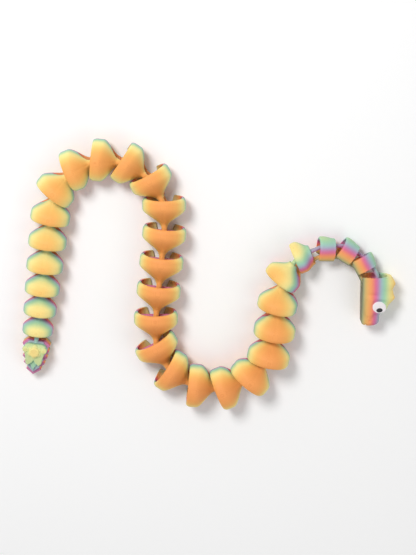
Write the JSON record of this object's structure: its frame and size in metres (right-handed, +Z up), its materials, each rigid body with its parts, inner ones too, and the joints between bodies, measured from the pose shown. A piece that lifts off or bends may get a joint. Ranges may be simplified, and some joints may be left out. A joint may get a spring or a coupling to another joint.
{
  "type": "articulated serpent fidget toy",
  "caption": "Print-in-place articulated serpent toy: hollow bell-shaped links hung on each other by a loop and a bar, with a head at one end and a leaf-shaped tail tip.",
  "frame": {"origin": "centre of the bounding box, on the plane that the bellies lie on", "axes": "+Z up off the flat bellies; +X from the tail column to the head column of the S; the head and the tail tip both point towards -Y"},
  "size_m": [0.2666, 0.1956, 0.0291],
  "materials": {
    "filament": "matte, changes colour with height over the print bed",
    "eye_white": "matte",
    "eye_black": "matte"
  },
  "bodies": {
    "head": {"head": "filament", "eye_white_right": "eye_white", "pupil_right": "eye_black", "eye_white_left": "eye_white", "pupil_left": "eye_black"},
    "neck_link_1": {"neck_link_1": "filament"},
    "neck_link_2": {"neck_link_2": "filament"},
    "neck_link_3": {"neck_link_3": "filament"},
    "body_link_01": {"body_link_01": "filament"},
    "body_link_02": {"body_link_02": "filament"},
    "body_link_03": {"body_link_03": "filament"},
    "body_link_04": {"body_link_04": "filament"},
    "body_link_05": {"body_link_05": "filament"},
    "body_link_06": {"body_link_06": "filament"},
    "body_link_07": {"body_link_07": "filament"},
    "body_link_08": {"body_link_08": "filament"},
    "body_link_09": {"body_link_09": "filament"},
    "body_link_10": {"body_link_10": "filament"},
    "body_link_11": {"body_link_11": "filament"},
    "body_link_12": {"body_link_12": "filament"},
    "body_link_13": {"body_link_13": "filament"},
    "body_link_14": {"body_link_14": "filament"},
    "body_link_15": {"body_link_15": "filament"},
    "body_link_16": {"body_link_16": "filament"},
    "body_link_17": {"body_link_17": "filament"},
    "body_link_18": {"body_link_18": "filament"},
    "body_link_19": {"body_link_19": "filament"},
    "body_link_20": {"body_link_20": "filament"},
    "body_link_21": {"body_link_21": "filament"},
    "body_link_22": {"body_link_22": "filament"},
    "body_link_23": {"body_link_23": "filament"},
    "body_link_24": {"body_link_24": "filament"},
    "body_link_25": {"body_link_25": "filament"},
    "body_link_26": {"body_link_26": "filament"},
    "tail_tip": {"tail_tip": "filament"}
  },
  "joints": [
    {"name": "neck_link_1_to_head_arch", "type": "hinge", "parent": "neck_link_1", "child": "head", "pos_m": [0.11515, -0.00301, 0.0112], "axis": [0, 0, 1], "range_deg": [-2.1, 47.9]},
    {"name": "neck_link_2_to_neck_link_1_arch", "type": "hinge", "parent": "neck_link_2", "child": "neck_link_1", "pos_m": [0.10758, 0.00926, 0.00875], "axis": [0.0788, -0.1482, -0.9858], "range_deg": [-48.9, 1.1]},
    {"name": "neck_link_3_to_neck_link_2_arch", "type": "hinge", "parent": "neck_link_3", "child": "neck_link_2", "pos_m": [0.09534, 0.01722, 0.00875], "axis": [0, 0, 1], "range_deg": [-2, 48]},
    {"name": "body_link_01_to_neck_link_3_arch", "type": "hinge", "parent": "body_link_01", "child": "neck_link_3", "pos_m": [0.08084, 0.01823, 0.01016], "axis": [-0.0964, 0.0067, -0.9953], "range_deg": [-48.7, 1.3]},
    {"name": "body_link_02_to_body_link_01_arch", "type": "hinge", "parent": "body_link_02", "child": "body_link_01", "pos_m": [0.06526, 0.01221, 0.01072], "axis": [-0.0031, -0.0014, 1], "range_deg": [-2, 48]},
    {"name": "body_link_03_to_body_link_02_arch", "type": "hinge", "parent": "body_link_03", "child": "body_link_02", "pos_m": [0.05411, -0.00141, 0.01072], "axis": [0.0206, 0.0264, -0.9994], "range_deg": [-46, 4]},
    {"name": "body_link_04_to_body_link_03_bend", "type": "hinge", "parent": "body_link_04", "child": "body_link_03", "pos_m": [0.0501, -0.01977, 0.00995], "axis": [-0.9459, 0.2166, -0.2414], "range_deg": [-21.5, 28.5]},
    {"name": "body_link_05_to_body_link_04_turn", "type": "hinge", "parent": "body_link_05", "child": "body_link_04", "pos_m": [0.04737, -0.03921, 0.00862], "axis": [-0.0112, -0.0797, 0.9968], "range_deg": [-34, 26]},
    {"name": "body_link_06_to_body_link_05_turn", "type": "hinge", "parent": "body_link_06", "child": "body_link_05", "pos_m": [0.04317, -0.059, 0.00871], "axis": [0.0007, 0.0031, -1], "range_deg": [-2, 58]},
    {"name": "body_link_07_to_body_link_06_turn", "type": "hinge", "parent": "body_link_07", "child": "body_link_06", "pos_m": [0.02996, -0.07473, 0.00875], "axis": [-0.0013, -0.0015, 1], "range_deg": [-58, 2]},
    {"name": "body_link_08_to_body_link_07_turn", "type": "hinge", "parent": "body_link_08", "child": "body_link_07", "pos_m": [0.01075, -0.0825, 0.00877], "axis": [0.0011, 0.0005, -1], "range_deg": [-2, 58]},
    {"name": "body_link_09_to_body_link_08_turn", "type": "hinge", "parent": "body_link_09", "child": "body_link_08", "pos_m": [-0.00993, -0.08032, 0.00878], "axis": [-0.0008, 0.0001, 1], "range_deg": [-58, 2]},
    {"name": "body_link_10_to_body_link_09_turn", "type": "hinge", "parent": "body_link_10", "child": "body_link_09", "pos_m": [-0.02719, -0.06868, 0.00878], "axis": [0.0001, -0.0001, -1], "range_deg": [-2, 58]},
    {"name": "body_link_11_to_body_link_10_turn", "type": "hinge", "parent": "body_link_11", "child": "body_link_10", "pos_m": [-0.03696, -0.05031, 0.00877], "axis": [0, 0, 1], "range_deg": [-58, 2]},
    {"name": "body_link_12_to_body_link_11_bend", "type": "hinge", "parent": "body_link_12", "child": "body_link_11", "pos_m": [-0.03696, -0.02956, 0.00875], "axis": [-1, 0, 0], "range_deg": [-30, 20]},
    {"name": "body_link_13_to_body_link_12_turn", "type": "hinge", "parent": "body_link_13", "child": "body_link_12", "pos_m": [-0.0348, -0.009, 0.00872], "axis": [0, 0, -1], "range_deg": [-30, 30]},
    {"name": "body_link_13_to_body_link_14_bend", "type": "hinge", "parent": "body_link_13", "child": "body_link_14", "pos_m": [-0.03265, 0.01145, 0.00869], "axis": [0.9945, -0.1045, 0], "range_deg": [-30, 20]},
    {"name": "body_link_14_to_body_link_15_turn", "type": "hinge", "parent": "body_link_14", "child": "body_link_15", "pos_m": [-0.03051, 0.03178, 0.00865], "axis": [0, 0, 1], "range_deg": [-36, 24]},
    {"name": "body_link_15_to_body_link_16_turn", "type": "hinge", "parent": "body_link_15", "child": "body_link_16", "pos_m": [-0.03051, 0.05208, 0.0086], "axis": [0, 0, -1], "range_deg": [-2, 58]},
    {"name": "body_link_16_to_body_link_17_turn", "type": "hinge", "parent": "body_link_16", "child": "body_link_17", "pos_m": [-0.03995, 0.06983, 0.00854], "axis": [0, 0, 1], "range_deg": [-58, 2]},
    {"name": "body_link_17_to_body_link_18_turn", "type": "hinge", "parent": "body_link_17", "child": "body_link_18", "pos_m": [-0.05644, 0.08095, 0.00848], "axis": [0, 0, -1], "range_deg": [-2, 58]},
    {"name": "body_link_18_to_body_link_19_turn", "type": "hinge", "parent": "body_link_18", "child": "body_link_19", "pos_m": [-0.07597, 0.083, 0.00839], "axis": [0, 0, 1], "range_deg": [-58, 2]},
    {"name": "body_link_19_to_body_link_20_turn", "type": "hinge", "parent": "body_link_19", "child": "body_link_20", "pos_m": [-0.09388, 0.07576, 0.0083], "axis": [0, 0, -1], "range_deg": [-2, 58]},
    {"name": "body_link_20_to_body_link_21_turn", "type": "hinge", "parent": "body_link_20", "child": "body_link_21", "pos_m": [-0.10607, 0.06124, 0.00818], "axis": [0, 0, 1], "range_deg": [-58, 2]},
    {"name": "body_link_21_to_body_link_22_bend", "type": "hinge", "parent": "body_link_21", "child": "body_link_22", "pos_m": [-0.10993, 0.0431, 0.00805], "axis": [0.9781, -0.2079, 0], "range_deg": [-20, 30]},
    {"name": "body_link_22_to_body_link_23_turn", "type": "hinge", "parent": "body_link_22", "child": "body_link_23", "pos_m": [-0.11244, 0.02524, 0.00789], "axis": [0, 0, -1], "range_deg": [-30, 30]},
    {"name": "body_link_23_to_body_link_24_bend", "type": "hinge", "parent": "body_link_23", "child": "body_link_24", "pos_m": [-0.11487, 0.00798, 0.0077], "axis": [-0.9903, 0.1392, 0], "range_deg": [-30, 20]},
    {"name": "body_link_24_to_body_link_25_turn", "type": "hinge", "parent": "body_link_24", "child": "body_link_25", "pos_m": [-0.11719, -0.00859, 0.00748], "axis": [0, 0, 1], "range_deg": [-30, 30]},
    {"name": "body_link_25_to_body_link_26_bend", "type": "hinge", "parent": "body_link_25", "child": "body_link_26", "pos_m": [-0.1194, -0.0243, 0.00721], "axis": [0.9903, -0.1392, 0], "range_deg": [-20, 30]},
    {"name": "body_link_26_to_tail_tip_turn", "type": "hinge", "parent": "body_link_26", "child": "tail_tip", "pos_m": [-0.12145, -0.03888, 0.0069], "axis": [0, 0, -1], "range_deg": [-30, 30]}
  ]
}
